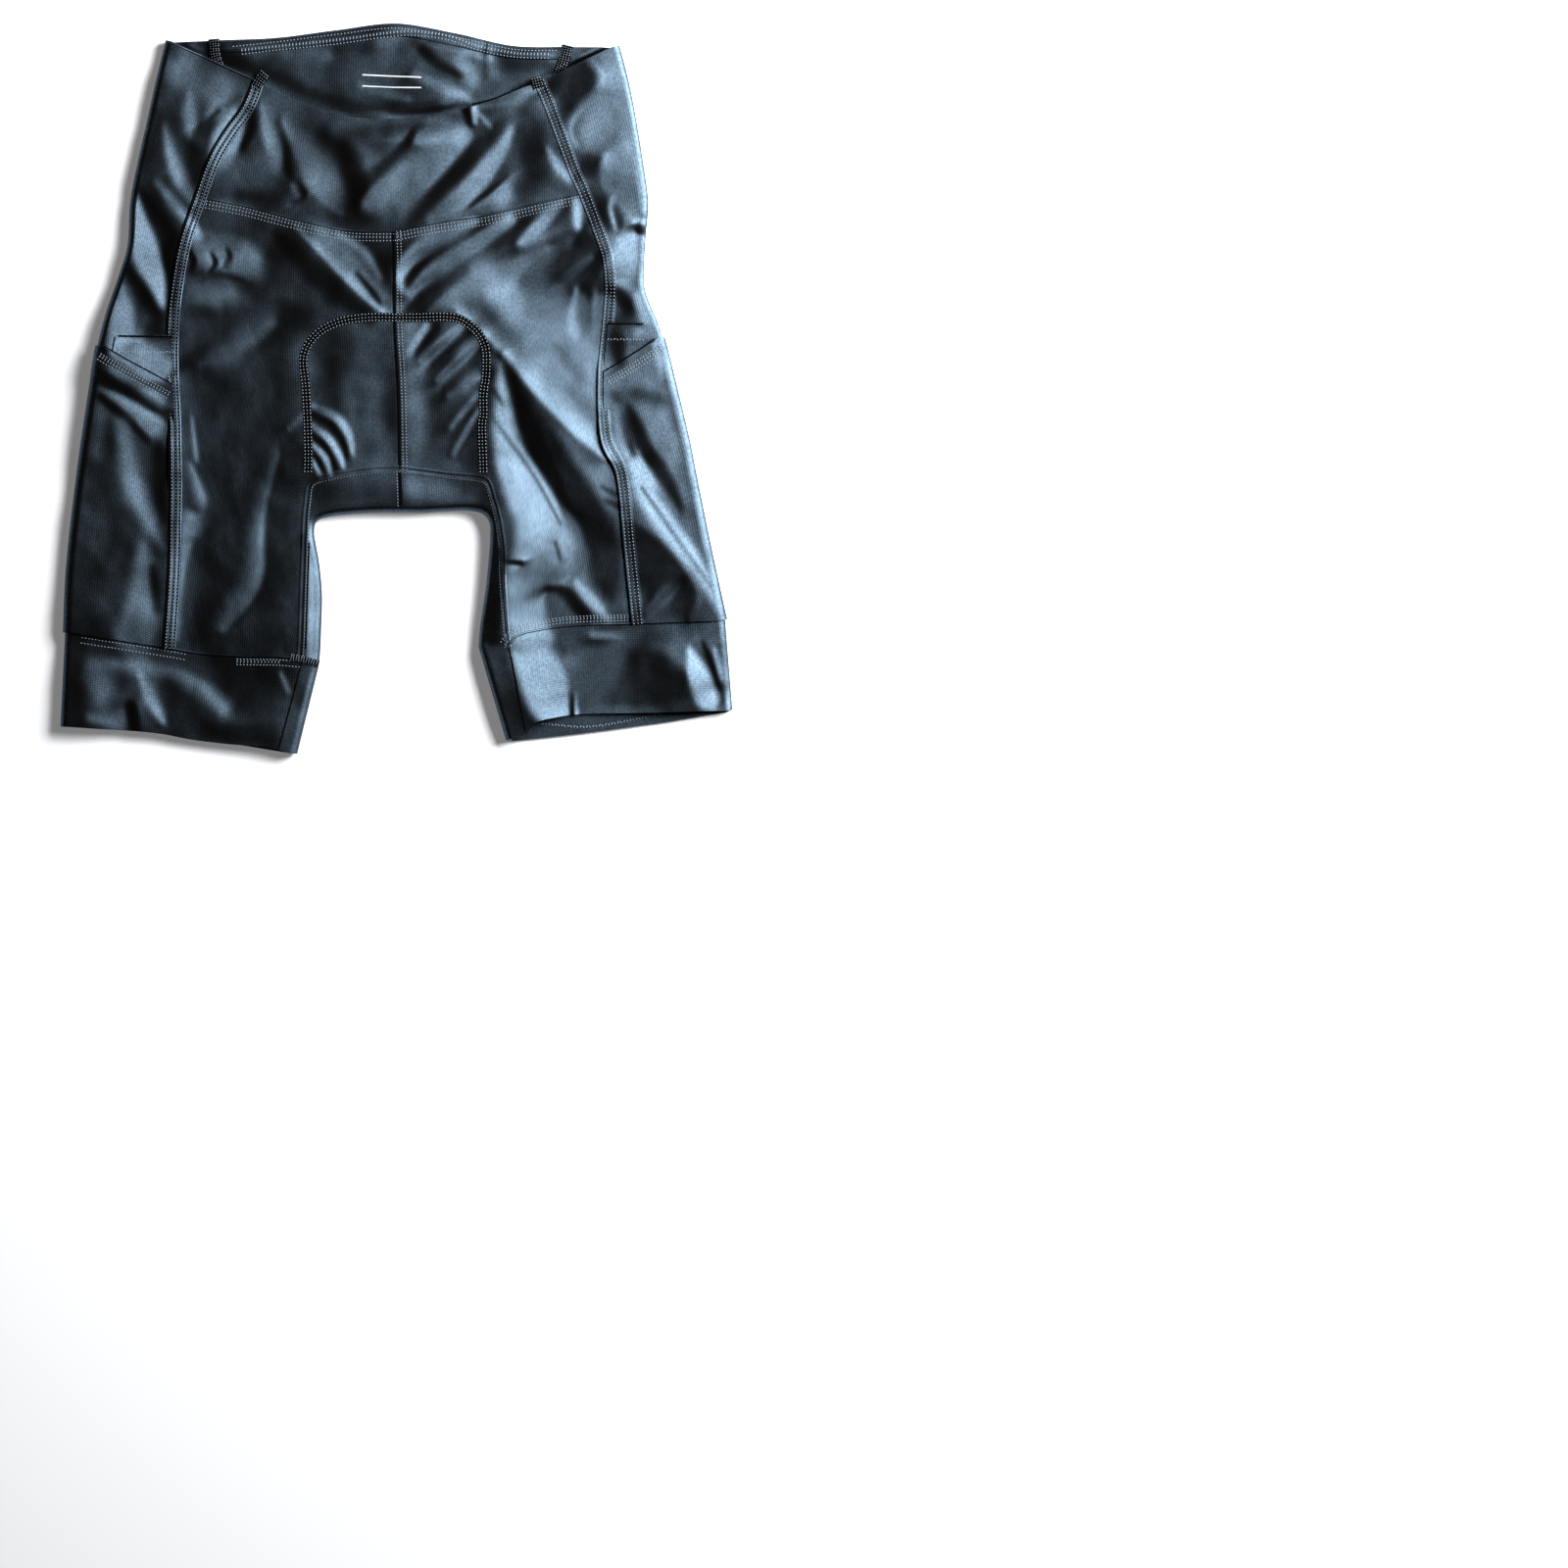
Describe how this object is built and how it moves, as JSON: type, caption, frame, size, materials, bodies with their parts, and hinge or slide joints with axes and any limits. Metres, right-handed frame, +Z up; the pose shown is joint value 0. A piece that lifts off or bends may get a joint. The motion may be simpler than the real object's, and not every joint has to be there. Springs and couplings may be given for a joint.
{
  "type": "padded running shorts",
  "caption": "High-waisted padded running shorts laid flat, front up, with side pockets, doubled leg cuffs and a stitched foam pad at the crotch.",
  "frame": {"origin": "centre of the garment's outline seen from above, on the surface that it lies on", "axes": "+Z up out of the surface, towards the front of the garment; +Y towards the waist; +X to the right of a viewer who looks down at the front"},
  "size_m": [0.515, 0.5598, 0.0133],
  "materials": {
    "shell_knit": "smooth satin nylon and elastane knit, near black navy",
    "band_knit": "the same knit, doubled, in the waistband and the cuffs",
    "pocket_knit": "the same knit in the pocket layers",
    "pad_foam": "brushed knit over soft foam"
  },
  "bodies": {
    "root": {"waistband_front": "band_knit", "waistband_back": "band_knit", "side_panel_left": "shell_knit", "side_panel_right": "shell_knit", "front_left": "shell_knit", "front_right": "shell_knit", "back_left": "shell_knit", "back_right": "shell_knit", "cuff_left": "band_knit", "cuff_right": "band_knit", "pocket_left": "pocket_knit", "pocket_right": "pocket_knit", "pocket_facing_left": "pocket_knit", "pocket_facing_right": "pocket_knit", "chamois_pad": "pad_foam"}
  },
  "joints": []
}
